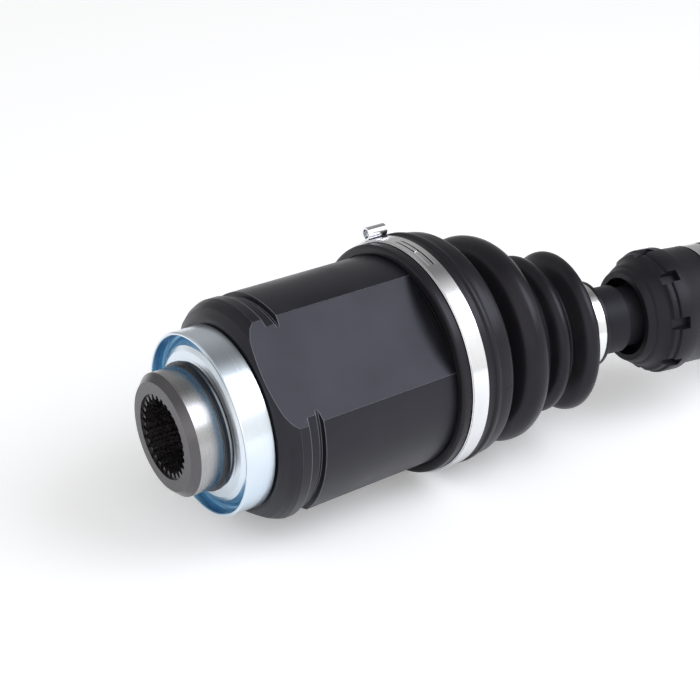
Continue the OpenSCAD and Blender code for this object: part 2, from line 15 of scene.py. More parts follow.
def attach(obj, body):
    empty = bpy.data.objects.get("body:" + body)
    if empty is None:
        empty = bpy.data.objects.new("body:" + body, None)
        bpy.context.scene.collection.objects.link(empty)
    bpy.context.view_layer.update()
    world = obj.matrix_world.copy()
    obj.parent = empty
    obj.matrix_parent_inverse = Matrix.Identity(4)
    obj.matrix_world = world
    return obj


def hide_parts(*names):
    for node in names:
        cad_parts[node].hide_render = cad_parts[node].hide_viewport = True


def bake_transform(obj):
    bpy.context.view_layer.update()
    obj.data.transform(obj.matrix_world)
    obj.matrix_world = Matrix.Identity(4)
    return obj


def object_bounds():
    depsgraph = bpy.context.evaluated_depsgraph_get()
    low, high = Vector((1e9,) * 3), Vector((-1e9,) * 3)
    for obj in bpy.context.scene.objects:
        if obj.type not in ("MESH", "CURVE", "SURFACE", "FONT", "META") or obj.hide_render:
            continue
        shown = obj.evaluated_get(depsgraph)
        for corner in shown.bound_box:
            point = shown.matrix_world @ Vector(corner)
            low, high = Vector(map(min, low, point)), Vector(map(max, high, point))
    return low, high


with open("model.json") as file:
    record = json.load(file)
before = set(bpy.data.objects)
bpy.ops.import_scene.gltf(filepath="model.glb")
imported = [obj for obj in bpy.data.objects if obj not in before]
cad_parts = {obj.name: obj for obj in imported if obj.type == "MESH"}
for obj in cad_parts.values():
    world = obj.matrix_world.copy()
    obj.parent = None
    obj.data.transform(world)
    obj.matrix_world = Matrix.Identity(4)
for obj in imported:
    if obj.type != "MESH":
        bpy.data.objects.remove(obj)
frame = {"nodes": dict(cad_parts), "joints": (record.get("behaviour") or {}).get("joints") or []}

MM = 0.001
FULL_TURN = 2 * math.pi
CAD_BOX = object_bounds()
JOINTS = {joint["name"]: joint for joint in frame["joints"]}

# %% [markdown]
# The inner housing lies along X. The bar shaft leaves the inner joint's centre turned a little
# towards the front, so its pieces are made along X and then placed by one matrix, SHAFT.

# %% Places taken from the joints
INNER = Vector(JOINTS["inner_bend"]["pos_m"])
OUTER = Vector(JOINTS["outer_bend"]["pos_m"])
SPAN = (OUTER - INNER).length
REST_BEND = math.atan2(OUTER.y - INNER.y, OUTER.x - INNER.x)
HOUSING = Matrix.Identity(4)
SHAFT = Matrix.Translation(INNER) @ Matrix.Rotation(REST_BEND, 4, "Z")
print("rest bend", round(math.degrees(REST_BEND), 2), "span mm", round(SPAN / MM, 1))

# %% [markdown]
# The camera stands where the photographer's did: in front of the splined stub, above and to the
# left, looking along the housing. Its place was worked out from the circles in the photograph.

# %% Camera
CAMERA_PLACE = Vector((-178.3, -356.9, 235.8)) * MM
CAMERA_LOOK = Vector((0.5201, 0.7215, -0.4571))
camera_data = bpy.data.cameras.new("camera")
camera_data.lens = 69.17
camera_data.sensor_width = 36.0
camera_data.clip_start = 10 * MM
camera = bpy.data.objects.new("camera", camera_data)
camera.location = CAMERA_PLACE
camera.rotation_euler = CAMERA_LOOK.to_track_quat("-Z", "Y").to_euler()
bpy.context.scene.collection.objects.link(camera)
bpy.context.scene.camera = camera
bpy.context.scene.view_settings.view_transform = "Standard"
print("camera distance mm", round((CAMERA_PLACE - INNER).length / MM))

# %% [markdown]
# The finishes are node trees, and small helpers keep them short. Each adds one or two nodes and
# gives back the socket with the result. Where a helper takes a value, that can be a number, a
# colour or another node's socket.

# %% Helpers for nodes
MIX_COLOUR_INPUTS, MIX_COLOUR_OUTPUT = slice(6, 8), 2


def set_or_link(tree, socket, value):
    if isinstance(value, (int, float)):
        socket.default_value = value
    elif isinstance(value, tuple):
        socket.default_value = (*value, 1.0)
    else:
        tree.links.new(value, socket)


def add_node(tree, kind, **inputs):
    """Adds a node. A socket's name is given with an underscore for each space."""
    node = tree.nodes.new(kind)
    for key, value in inputs.items():
        node.inputs[key.replace("_", " ")].default_value = value
    return node


def add_math(tree, operation, first, second=0.0):
    node = tree.nodes.new("ShaderNodeMath")
    node.operation = operation
    for socket, value in zip(node.inputs, (first, second)):
        set_or_link(tree, socket, value)
    return node.outputs[0]


def ramp(tree, value, low, high, start=0.0, end=1.0, smooth=False):
    """Turns low..high into start..end, and stays at the ends beyond them."""
    node = tree.nodes.new("ShaderNodeMapRange")
    node.interpolation_type = "SMOOTHSTEP" if smooth else "LINEAR"
    for socket, given in zip(node.inputs[:5], (value, low, high, start, end)):
        set_or_link(tree, socket, given)
    return node.outputs[0]


def mix_colours(tree, factor, first, second):
    node = tree.nodes.new("ShaderNodeMix")
    node.data_type = "RGBA"
    tree.links.new(factor, node.inputs["Factor"])
    for socket, colour in zip(node.inputs[MIX_COLOUR_INPUTS], (first, second)):
        set_or_link(tree, socket, colour)
    return node.outputs[MIX_COLOUR_OUTPUT]


def split_vector(tree, vector):
    node = tree.nodes.new("ShaderNodeSeparateXYZ")
    tree.links.new(vector, node.inputs[0])
    return node.outputs


def scaled_noise(tree, vector, scale, detail=3.0):
    noise = add_node(tree, "ShaderNodeTexNoise", Scale=scale, Detail=detail)
    tree.links.new(vector, noise.inputs["Vector"])
    return noise.outputs["Fac"]


print("node helpers ready")

# %% [markdown]
# The next helpers are about a whole finish. One gives coordinates along the axis of a turned
# piece and away from it. Turning marks depend on those two only, so that they run round the piece.

# %% Helpers for finishes
NOISE_LOW, NOISE_HIGH = 0.3, 0.7
BEVEL_SAMPLES = 6


def new_finish(name, colour, metallic):
    finish = bpy.data.materials.new(name)
    finish.use_nodes = True
    shader = finish.node_tree.nodes["Principled BSDF"]
    shader.inputs["Base Color"].default_value = (*colour, 1.0)
    shader.inputs["Metallic"].default_value = metallic
    return finish, finish.node_tree, shader


def shade(colour, factor):
    return tuple(channel * factor for channel in colour)


def plain_coordinates(tree):
    return tree.nodes.new("ShaderNodeTexCoord").outputs["Object"]


def turned_axes(tree, place):
    """X along the piece's own axis, the distance from that axis, and the plain coordinates."""
    whole = plain_coordinates(tree)
    mapping = tree.nodes.new("ShaderNodeMapping")
    mapping.vector_type = "TEXTURE"
    mapping.inputs["Location"].default_value = place.to_translation()
    mapping.inputs["Rotation"].default_value = place.to_euler()
    tree.links.new(whole, mapping.inputs["Vector"])
    along, side, up = split_vector(tree, mapping.outputs[0])
    squares = [add_math(tree, "MULTIPLY", value, value) for value in (side, up)]
    return along, add_math(tree, "SQRT", add_math(tree, "ADD", *squares)), whole


def turned_noise(tree, along, radius, fineness):
    """Fine noise that runs round the axis, because it is read at the length and the radius."""
    joined = tree.nodes.new("ShaderNodeCombineXYZ")
    for socket, value in zip(joined.inputs, (along, radius)):
        tree.links.new(add_math(tree, "MULTIPLY", value, fineness), socket)
    return scaled_noise(tree, joined.outputs[0], 1.0, 2.0)


def set_surface(tree, shader, colour, noise, rough):
    """Links the colour, and lets a noise lead the roughness between two values."""
    tree.links.new(colour, shader.inputs["Base Color"])
    tree.links.new(ramp(tree, noise, NOISE_LOW, NOISE_HIGH, *rough), shader.inputs["Roughness"])


def set_gloss(shader, level, tint):
    shader.inputs["Specular IOR Level"].default_value = level
    shader.inputs["Specular Tint"].default_value = (*tint, 1.0)


def rounded_edges(tree, size):
    edge = tree.nodes.new("ShaderNodeBevel")
    edge.samples = BEVEL_SAMPLES
    edge.inputs["Radius"].default_value = size
    return edge.outputs[0]


def add_bump(tree, shader, height, strength, distance, below=None):
    bump = add_node(tree, "ShaderNodeBump", Strength=strength, Distance=distance)
    tree.links.new(height, bump.inputs["Height"])
    if below is not None:
        tree.links.new(below, bump.inputs["Normal"])
    tree.links.new(bump.outputs[0], shader.inputs["Normal"])


print("finish helpers ready")

# %% [markdown]
# Machined steel: the tool leaves fine rings round the axis, and handling leaves faint stains.
# Together they lead the roughness. Only the rings are felt, as a very small bump.

# %% Machined steel
TOOL_RINGS, RING_SHARE, RING_STRENGTH, RING_DEPTH = 2600.0, 0.6, 0.12, 0.04 * MM
STAINS, STAIN_LOW, STAIN_HIGH, STAIN_SHADE = 70.0, 0.35, 0.7, 0.9


def machined_steel(name, place, colour, rough=(0.22, 0.42)):
    finish, tree, shader = new_finish(name, colour, 1.0)
    along, radius, whole = turned_axes(tree, place)
    rings = turned_noise(tree, along, radius, TOOL_RINGS)
    stain = scaled_noise(tree, whole, STAINS, 4.0)
    tint = mix_colours(tree, ramp(tree, stain, STAIN_LOW, STAIN_HIGH),
                       shade(colour, STAIN_SHADE), colour)
    mixed = add_math(tree, "ADD", add_math(tree, "MULTIPLY", rings, RING_SHARE),
                     add_math(tree, "MULTIPLY", stain, 1 - RING_SHARE))
    set_surface(tree, shader, tint, mixed, rough)
    add_bump(tree, shader, rings, RING_STRENGTH, RING_DEPTH)
    return finish


STEEL = machined_steel("machined_steel", SHAFT, (0.50, 0.50, 0.51))
DARK_STEEL = machined_steel("forged_dark_steel", SHAFT, (0.26, 0.26, 0.27), (0.32, 0.50))
BELL_STEEL = machined_steel("bell_steel", SHAFT, (0.34, 0.34, 0.35), (0.25, 0.42))
GROUND_STEEL = machined_steel("ground_steel", SHAFT, (0.62, 0.62, 0.63), (0.08, 0.18))
SPRING_STEEL = machined_steel("spring_steel", HOUSING, (0.085, 0.085, 0.095), (0.30, 0.42))
print("steels", len(bpy.data.materials))

# %% [markdown]
# Black paint: a thin satin coat over forged steel. It has a very fine orange peel and slightly
# uneven gloss. Along the edges it is pale: partly wear, partly a painted highlight where the edges
# catch the light. An edge is where the surface's own direction and the rounded one part, and faces
# that look along the housing are left out.

# %% Black paint
PAINT = (0.0125, 0.0125, 0.0160)
PAINT_SHEEN = (0.91, 0.88, 1.0)
CLOUDS, CLOUD_LOW, CLOUD_HIGH = 45.0, 0.35, 0.65
PEEL, PEEL_STRENGTH, PEEL_DEPTH = 1800.0, 0.22, 0.05 * MM
EDGE_ROUND = 0.6 * MM
WORN_AND_HIGHLIT_BELOW, UNMARKED_ABOVE = 0.972, 0.983
SIDE_BELOW, END_ABOVE = 0.2, 0.3


# Pale edges: partly wear, partly a painted highlight where the edges catch the light.
def edge_wear_and_highlight(tree, rounded):
    surface = tree.nodes.new("ShaderNodeNewGeometry")
    facing = tree.nodes.new("ShaderNodeTexCoord")
    lengthwise = add_math(tree, "ABSOLUTE", split_vector(tree, facing.outputs["Normal"])[0])
    sideways = ramp(tree, lengthwise, SIDE_BELOW, END_ABOVE, 1.0, 0.0)
    compare = tree.nodes.new("ShaderNodeVectorMath")
    compare.operation = "DOT_PRODUCT"
    tree.links.new(surface.outputs["Normal"], compare.inputs[0])
    tree.links.new(rounded, compare.inputs[1])
    wear_and_highlight = ramp(tree, compare.outputs["Value"], WORN_AND_HIGHLIT_BELOW, UNMARKED_ABOVE, 1.0, 0.0)
    return add_math(tree, "MULTIPLY", sideways, wear_and_highlight)


def black_paint(name, rough=(0.30, 0.42), gloss=0.33, wear_and_highlight_colour=(0.20, 0.20, 0.23)):
    finish, tree, shader = new_finish(name, PAINT, 0.0)
    set_gloss(shader, gloss, PAINT_SHEEN)
    whole = plain_coordinates(tree)
    cloud = scaled_noise(tree, whole, CLOUDS, 4.0)
    peel = scaled_noise(tree, whole, PEEL, 2.0)
    tint = mix_colours(tree, ramp(tree, cloud, CLOUD_LOW, CLOUD_HIGH),
                       shade(PAINT, 0.8), shade(PAINT, 1.25))
    rounded = rounded_edges(tree, EDGE_ROUND)
    # The edge colour is partly wear, partly a painted highlight.
    wear_and_highlight = mix_colours(tree, edge_wear_and_highlight(tree, rounded), tint, wear_and_highlight_colour)
    set_surface(tree, shader, wear_and_highlight, cloud, rough)
    add_bump(tree, shader, peel, PEEL_STRENGTH, PEEL_DEPTH, rounded)
    return finish


SHAFT_PAINT = black_paint("shaft_paint", (0.42, 0.52), 0.22, PAINT)
print("paint", SHAFT_PAINT.name)

# %% [markdown]
# Zinc plating on the pressed cover is bright, pale blue, and a little cloudy. The colour follows
# a slow noise, the gloss a finer one. Inside the rim it is painted a deep, dark blue: painted
# shade with a painted blue reflection on the rim's inner wall.

# %% Zinc plating
RIM_SHADE_FROM, RIM_SHADE_FULL, RIM_SHADE_END = 29.0 * MM, 30.0 * MM, 32.4 * MM
PALE_ZINC, BRIGHT_ZINC, RIM_PAINTED_SHADE = (0.68, 0.78, 0.87), (0.80, 0.85, 0.90), (0.20, 0.40, 0.58)
FILM, PRESS_RINGS, PRESS_STRENGTH = 28.0, 1500.0, 0.06


def zinc_plate(name):
    finish, tree, shader = new_finish(name, PALE_ZINC, 1.0)
    along, radius, whole = turned_axes(tree, HOUSING)
    film = scaled_noise(tree, whole, FILM)
    pale = mix_colours(tree, ramp(tree, film, CLOUD_LOW, CLOUD_HIGH), PALE_ZINC, BRIGHT_ZINC)
    # Painted shade and a painted blue reflection inside the rim.
    rim_painted_shade_mask = add_math(tree, "MULTIPLY", ramp(tree, radius, RIM_SHADE_FROM, RIM_SHADE_FULL),
                      add_math(tree, "LESS_THAN", radius, RIM_SHADE_END))
    rings = turned_noise(tree, along, radius, PRESS_RINGS)
    set_surface(tree, shader, mix_colours(tree, rim_painted_shade_mask, pale, RIM_PAINTED_SHADE), rings, (0.20, 0.28))
    add_bump(tree, shader, rings, PRESS_STRENGTH, RING_DEPTH)
    return finish


ZINC = zinc_plate("zinc_plate")
print("plating", ZINC.name)

# %% [markdown]
# Moulded rubber is near black, softly glossy, and shows a very fine texture from the mould with
# faint dust. The same maker serves the boots, the adapter and the damper with other values.

# %% Rubber
RUBBER_SHEEN = (0.93, 0.89, 1.0)
DUST_CLOUDS, DUST_LOW, DUST_HIGH, FULL_DUST = 60.0, 0.4, 0.75, 0.012
MOULD_GRAIN, GRAIN_DEPTH = 2600.0, 0.05 * MM
BOOT_BLACK = (0.0100, 0.0090, 0.0110)


def moulded_rubber(name, colour, rough, grain, dust, gloss):
    finish, tree, shader = new_finish(name, colour, 0.0)
    set_gloss(shader, gloss, RUBBER_SHEEN)
    whole = plain_coordinates(tree)
    cloud = scaled_noise(tree, whole, DUST_CLOUDS, 5.0)
    dusty = tuple(channel + FULL_DUST * dust for channel in colour)
    tint = mix_colours(tree, ramp(tree, cloud, DUST_LOW, DUST_HIGH), colour, dusty)
    set_surface(tree, shader, tint, cloud, rough)
    add_bump(tree, shader, scaled_noise(tree, whole, MOULD_GRAIN), grain, GRAIN_DEPTH)
    return finish


BOOT_RUBBER, CUFF_RUBBER = (
    moulded_rubber(name, BOOT_BLACK, (0.26, 0.36), grain=0.2, dust=0.3, gloss=0.29)
    for name in ("boot_rubber", "cuff_rubber"))
ADAPTER_RUBBER = moulded_rubber("adapter_rubber", (0.008, 0.0078, 0.009), (0.42, 0.52),
                                grain=0.2, dust=0.3, gloss=0.30)
DAMPER_RUBBER = moulded_rubber("damper_rubber", (0.0095, 0.0092, 0.0115), (0.38, 0.50),
                               grain=0.4, dust=0.4, gloss=0.26)
print("rubbers", sum("rubber" in material.name for material in bpy.data.materials))

# %% [markdown]
# The boot's shoulder has one small vent slit, where air left the mould. It is only 4 mm long and
# under a millimetre wide, so it is cut by the finish: a black line of painted shade, with a bump
# that sinks it. The line rises a little from its front end to its rear end.

# %% Vent slit
VENT_FROM, VENT_TO = Vector((115.5, -44.9, 1.6)) * MM, Vector((119.6, -44.9, 2.6)) * MM
VENT_HALF, VENT_SINK = 0.45 * MM, 8.0
VENT_SIDE_Y = -40 * MM
VENT_FRONT_EASE, VENT_REAR_EASE = 0.2 * MM, 0.8 * MM


def cut_vent_painted_shade(finish):
    tree = finish.node_tree
    colour = tree.nodes["Principled BSDF"].inputs["Base Color"]
    height = tree.nodes["Bump"].inputs["Height"]
    x, y, z = split_vector(tree, plain_coordinates(tree))
    rise = (VENT_TO.z - VENT_FROM.z) / (VENT_TO.x - VENT_FROM.x)
    line = add_math(tree, "ADD", add_math(tree, "MULTIPLY", x, rise),
                    VENT_FROM.z - VENT_FROM.x * rise)
    away = add_math(tree, "ABSOLUTE", add_math(tree, "SUBTRACT", z, line))
    masks = [add_math(tree, "LESS_THAN", y, VENT_SIDE_Y),
             ramp(tree, x, VENT_FROM.x, VENT_FROM.x + VENT_FRONT_EASE),
             ramp(tree, x, VENT_TO.x, VENT_TO.x - VENT_REAR_EASE)]
    inside = ramp(tree, away, VENT_HALF / 2, VENT_HALF, 1.0, 0.0)
    for mask in masks:
        inside = add_math(tree, "MULTIPLY", inside, mask)
    plain, grain = colour.links[0].from_socket, height.links[0].from_socket
    depth = add_math(tree, "MULTIPLY", inside, VENT_SINK)
    # The slit is painted black: painted shade inside it.
    tree.links.new(mix_colours(tree, inside, plain, (0.0, 0.0, 0.0)), colour)
    tree.links.new(add_math(tree, "SUBTRACT", grain, depth), height)


cut_vent_painted_shade(CUFF_RUBBER)
print("vent slit mm", round((VENT_TO - VENT_FROM).length / MM, 1))

# %% [markdown]
# The band clamps are rolled stainless strip. Rolling leaves hairlines along the strip, which is
# round the boot, so the noise depends on the length and the radius only. The floors of the slits
# in a band are painted dark: painted shade for the shade below them.

# %% Band steel
HAIRLINES, HAIRLINE_STRENGTH, HAIRLINE_DEPTH = 5200.0, 0.08, 0.03 * MM
SMUDGES, SMUDGED_BAND, CLEAN_BAND = 90.0, (0.78, 0.78, 0.80), (0.85, 0.85, 0.85)


def band_steel(name, place):
    finish, tree, shader = new_finish(name, CLEAN_BAND, 1.0)
    along, radius, whole = turned_axes(tree, place)
    smudge = scaled_noise(tree, whole, SMUDGES)
    tint = mix_colours(tree, ramp(tree, smudge, STAIN_LOW, STAIN_HIGH), SMUDGED_BAND, CLEAN_BAND)
    lines = turned_noise(tree, along, radius, HAIRLINES)
    set_surface(tree, shader, tint, smudge, (0.12, 0.24))
    add_bump(tree, shader, lines, HAIRLINE_STRENGTH, HAIRLINE_DEPTH)
    return finish


INNER_BAND = band_steel("inner_band_steel", HOUSING)
SHAFT_BAND = band_steel("shaft_band_steel", SHAFT)
# A dark finish for the slit floors: painted shade.
SLIT_PAINTED_SHADE = machined_steel("slit_painted_shade", HOUSING, (0.05, 0.05, 0.055), (0.5, 0.6))
print("bands", INNER_BAND.name, SHAFT_BAND.name)

# %% [markdown]
# The housing is one forging with two finishes: black paint on the lobed body, bare machined
# steel on the stub, which an oil seal grips. The change is just in front of the nose. The stub's
# end face and chamfer are darker. The inside of its socket is a little darker too: painted shade.

# %% Housing finish
NOSE_X, STUB_R = 24.9 * MM, 23.2 * MM
CHAMFER_FROM, CHAMFER_TO = 2.5 * MM, 2.7 * MM
SOCKET_X, SOCKET_R = 1.2 * MM, 16.2 * MM
STUB_RINGS, STUB_STAINS = 2400.0, 60.0
STUB_DARK, STUB_PALE = (0.38, 0.375, 0.37), (0.46, 0.455, 0.45)
END_FACE, SOCKET_PAINTED_SHADE = (0.12, 0.115, 0.12), (0.36, 0.34, 0.35)


def bare_stub(tree, along, radius, whole):
    bare = add_node(tree, "ShaderNodeBsdfPrincipled", Metallic=1.0)
    rings = turned_noise(tree, along, radius, STUB_RINGS)
    stain = scaled_noise(tree, whole, STUB_STAINS, 4.0)
    tint = mix_colours(tree, ramp(tree, stain, STAIN_LOW, STAIN_HIGH), STUB_DARK, STUB_PALE)
    turned = mix_colours(tree, ramp(tree, along, CHAMFER_FROM, CHAMFER_TO), END_FACE, tint)
    # Painted shade: the inside of the socket is a little darker.
    socket_shade_mask = add_math(tree, "MULTIPLY", add_math(tree, "LESS_THAN", radius, SOCKET_R),
                         add_math(tree, "GREATER_THAN", along, SOCKET_X))
    set_surface(tree, bare, mix_colours(tree, socket_shade_mask, turned, SOCKET_PAINTED_SHADE), rings, (0.22, 0.32))
    add_bump(tree, bare, rings, RING_STRENGTH, RING_DEPTH)
    return bare


def housing_finish(name):
    finish = black_paint(name)
    tree = finish.node_tree
    paint = tree.nodes["Principled BSDF"]
    along, radius, whole = turned_axes(tree, HOUSING)
    bare = bare_stub(tree, along, radius, whole)
    painted = add_math(tree, "MAXIMUM", add_math(tree, "GREATER_THAN", along, NOSE_X),
                       add_math(tree, "GREATER_THAN", radius, STUB_R))
    blend = tree.nodes.new("ShaderNodeMixShader")
    for socket, value in zip(blend.inputs, (painted, bare.outputs[0], paint.outputs[0])):
        tree.links.new(value, socket)
    tree.links.new(blend.outputs[0], tree.nodes["Material Output"].inputs["Surface"])
    return finish


HOUSING_FINISH = housing_finish("housing_finish")
print("finishes", len(bpy.data.materials))

# %% [markdown]
# The pieces whose construction shape is already right keep it and only take a finish. Those that
# are replaced further down take one too, so that none is ever seen bare.

# %% Finishes for the construction's own pieces
NODES_BY_FINISH = [
    (HOUSING_FINISH, ["tulip_housing"]),
    (ZINC, ["dust_cover"]),
    (SHAFT_PAINT, ["axle_shaft"]),
    (ADAPTER_RUBBER, ["cuff_adapter"]),
    (BOOT_RUBBER, ["inner_boot", "outer_boot"]),
    (DAMPER_RUBBER, ["damper_rubber"]),
    (STEEL, ["spring_cup", "ball_race"]),
    (DARK_STEEL, ["tripod_spider", "damper_mass", "ball_cage"]),
    (GROUND_STEEL, ["tripod_roller_1", "tripod_roller_2", "tripod_roller_3", "needle_rollers",
                    "joint_balls"]),
    (SPRING_STEEL, ["centring_spring", "cover_retaining_ring", "roller_retainers",
                    "spider_circlip", "race_retaining_ring"]),
    (BELL_STEEL, ["ball_joint_bell"]),
    (INNER_BAND, ["inner_boot_large_clamp"]),
    (SHAFT_BAND, ["inner_boot_small_clamp", "outer_boot_small_clamp", "outer_boot_large_clamp",
                  "damper_clamp"])]
for finish, node_names in NODES_BY_FINISH:
    for node_name in node_names:
        materials = frame["nodes"][node_name].data.materials
        materials.clear()
        materials.append(finish)
print("dressed", sum(len(node_names) for finish, node_names in NODES_BY_FINISH))

# %% [markdown]
# Every mesh made here goes through the same last steps: its faces are turned outwards, it gets
# one finish, and it is shaded smooth with an edge wherever two faces meet steeply. Most of them
# are tubes, which are rings of points joined one to the next.

# %% Helpers for meshes


def dress_mesh(mesh, finish, smooth_angle):
    shape = bmesh.new()
    shape.from_mesh(mesh)
    bmesh.ops.recalc_face_normals(shape, faces=shape.faces)
    shape.to_mesh(mesh)
    shape.free()
    mesh.materials.clear()
    mesh.materials.append(finish)
    mesh.shade_smooth()
    mesh.set_sharp_from_angle(angle=math.radians(smooth_angle))


def mesh_object(name, vertices, faces, finish, smooth_angle=35.0):
    mesh = bpy.data.meshes.new(name)
    mesh.from_pydata(vertices, [], faces)
    mesh.validate()
    dress_mesh(mesh, finish, smooth_angle)
    piece = bpy.data.objects.new(name, mesh)
    bpy.context.scene.collection.objects.link(piece)
    return piece


def tube_faces(rings, sides, closed=True):
    """Joins each ring to the next, and if it is closed the last one to the first."""
    faces = []
    for j in range(rings if closed else rings - 1):
        k = (j + 1) % rings
        for i in range(sides):
            n = (i + 1) % sides
            faces.append((j * sides + i, j * sides + n, k * sides + n, k * sides + i))
    return faces


print("mesh helpers ready")

# %% [markdown]
# A boot is a wall of rubber turned about a line that bends. Each point of its outline says how
# much of the rest bend it has taken up, how far along it lies, and its radius. The outline is
# smoothed by a spline and swept round, inside and outside, into one closed shell.

# %% Helpers for swept shells
BAR_FIT_R = 13.65


def smooth_outline(points, steps):
    """A Catmull-Rom curve through the points."""
    ends = [points[0]] + list(points) + [points[-1]]
    curve = []
    for i in range(1, len(ends) - 2):
        a, b, c, d = (Vector(p) for p in ends[i - 1:i + 3])
        for step in range(steps):
            t = step / steps
            curve.append(0.5 * ((2 * b) + (c - a) * t + (2 * a - 5 * b + 4 * c - d) * t ** 2
                                + (3 * b - a - 3 * c + d) * t ** 3))
    curve.append(Vector(points[-1]))
    return curve


def bent_ring(point, sides):
    share, along, radius = point
    turn = Matrix.Rotation(REST_BEND * share, 3, "Z")
    ring = []
    for i in range(sides):
        angle = FULL_TURN * i / sides
        local = Vector((along, radius * math.sin(angle), radius * math.cos(angle))) * MM
        ring.append(INNER + turn @ local)
    return ring


def swept_shell(name, outside, wall, sides, finish):
    """The outline and its copy one wall further in, swept round the bent line."""
    inside = [Vector((p.x, p.y, max(p.z - wall, BAR_FIT_R))) for p in reversed(outside)]
    loop = outside + inside
    vertices = [vertex for point in loop for vertex in bent_ring(point, sides)]
    return mesh_object(name, vertices, tube_faces(len(loop), sides), finish)


print("shell helpers ready")

# %% [markdown]
# The inner boot has to give way twice: it shortens when the joint plunges and leans when it
# bends. It is made in two pieces that meet on top of the first fold: one holds the cuff, the
# shoulder and the front of that fold, the other everything behind it.

# %% Inner boot
FIRST_CREST = (0.51, 56.0, 41.0)
BOOT_OUTLINE = [
    (0, 16.5, 43.6), (0, 16.9, 44.4), (0, 17.6, 44.7), (0, 20.0, 44.7), (0, 20.3, 44.5),
    (0, 27.8, 44.5), (0, 28.1, 44.9), (0, 30.6, 45.0), (0, 31.4, 45.8), (0, 33.0, 45.8),
    (0, 33.8, 45.0), (0.04, 37.0, 44.9), (0.08, 40.2, 44.3), (0.13, 41.9, 42.0),
    (0.17, 42.7, 38.6), (0.21, 43.8, 35.0), (0.26, 45.6, 33.5), (0.32, 48.0, 35.0),
    (0.40, 51.2, 39.4), FIRST_CREST, (0.61, 61.2, 39.0), (0.68, 65.2, 33.4),
    (0.73, 67.8, 28.6), (0.76, 69.2, 28.0), (0.80, 71.2, 30.0), (0.84, 73.6, 31.2),
    (0.88, 76.2, 30.2), (0.91, 78.2, 26.8), (0.93, 79.6, 25.4), (0.95, 81.0, 26.6),
    (0.97, 83.4, 30.4), (0.98, 86.0, 31.6), (0.99, 88.4, 30.6), (1.0, 90.4, 26.5),
    (1.0, 91.4, 20.0), (1.0, 92.2, 17.4), (1.0, 93.6, 16.6), (1.0, 100.2, 16.5),
    (1.0, 100.5, 17.2), (1.0, 102.0, 17.2), (1.0, 102.4, 16.5)]
BOOT_WALL, OUTLINE_STEPS, BOOT_SIDES = 2.0, 7, 144

boot_curve = smooth_outline(BOOT_OUTLINE, OUTLINE_STEPS)
meeting = BOOT_OUTLINE.index(FIRST_CREST) * OUTLINE_STEPS
boot_cuff = swept_shell("inner_boot_cuff", boot_curve[:meeting + 1], BOOT_WALL, BOOT_SIDES,
                        CUFF_RUBBER)
boot_folds = swept_shell("inner_boot_folds", boot_curve[meeting:], BOOT_WALL, BOOT_SIDES,
                         BOOT_RUBBER)
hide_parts("inner_boot")
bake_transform(boot_cuff)
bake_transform(boot_folds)
print("boot vertices", len(boot_cuff.data.vertices) + len(boot_folds.data.vertices))

# %% [markdown]
# A band clamp is a steel strip wrapped round the cuff. One end is rolled into a small tube, the
# ear, that the fitting tool pulls on. Bars and ears are made from a section in millimetres, and
# a direction round the axis is an angle from up towards the front.

# %% Helpers for band clamps
STRIP, EDGE_EASE = 0.7, 0.15
ARC_STEP = math.radians(2.5)
ROLL_STEPS, ROLL_START, ROLL_STEP = 18, 15, 18


def axis_point(place, along, phase, radius):
    """A point by its place along the axis, its direction round it, and its radius."""
    local = Vector((along, -radius * math.sin(phase), radius * math.cos(phase)))
    return place @ (local * MM)


def arc_strip(place, x0, x1, start, end, r0, r1):
    """A curved bar between two directions, or a closed ring if they are a turn apart."""
    closed = math.isclose(end - start, FULL_TURN)
    count = max(2, math.ceil((end - start) / ARC_STEP))
    ease = min(EDGE_EASE, (x1 - x0) / 4)
    section = [(x0 + ease, r0), (x1 - ease, r0), (x1, r0 + ease), (x1, r1 - ease),
               (x1 - ease, r1), (x0 + ease, r1), (x0, r1 - ease), (x0, r0 + ease)]
    rings, sides = (count if closed else count + 1), len(section)
    points = [axis_point(place, x, start + (end - start) * j / count, r)
              for j in range(rings) for x, r in section]
    faces = tube_faces(rings, sides, closed)
    if not closed:
        faces += [tuple(range(sides)), tuple(reversed(range((rings - 1) * sides, rings * sides)))]
    return points, faces


def ear_outline(r_ear):
    """A strip seen from its edge: it leaves the band, rolls once round, and stops short."""
    centre, roll = r_ear + STRIP * 0.6, r_ear - STRIP / 2
    path = [(-r_ear * 1.7, STRIP * 0.3), (-r_ear * 0.9, STRIP * 0.4),
            (-r_ear * 0.35, centre - r_ear * 0.93)]
    for i in range(ROLL_STEPS):
        angle = math.radians(ROLL_START + ROLL_STEP * i)
        path.append((roll * math.sin(angle), centre - roll * math.cos(angle)))
    sides = {1: [], -1: []}
    for i, point in enumerate(path):
        before, after = Vector(path[max(i - 1, 0)]), Vector(path[min(i + 1, len(path) - 1)])
        tangent = (after - before).normalized()
        for side, rim in sides.items():
            rim.append(Vector(point) + side * STRIP / 2 * Vector((-tangent.y, tangent.x)))
    return sides[1] + sides[-1][::-1]


def rolled_ear(place, x0, x1, phase, r_band, r_ear):
    outline = ear_outline(r_ear)
    points = [axis_point(place, x, phase, r_band + spot.y)
              + axis_point(place, x, phase + math.pi / 2, spot.x) - axis_point(place, x, phase, 0)
              for x in (x0, x1) for spot in outline]
    n = len(outline)
    faces = tube_faces(2, n, closed=False)
    for base in (0, n):
        faces += [(base + i, base + i + 1, base + n - 2 - i, base + n - 1 - i)
                  for i in range(n // 2 - 1)]
    return points, faces


def joined(parts):
    points, faces = [], []
    for part_points, part_faces in parts:
        faces += [tuple(i + len(points) for i in face) for face in part_faces]
        points += part_points
    return points, faces


print("clamp helpers ready")

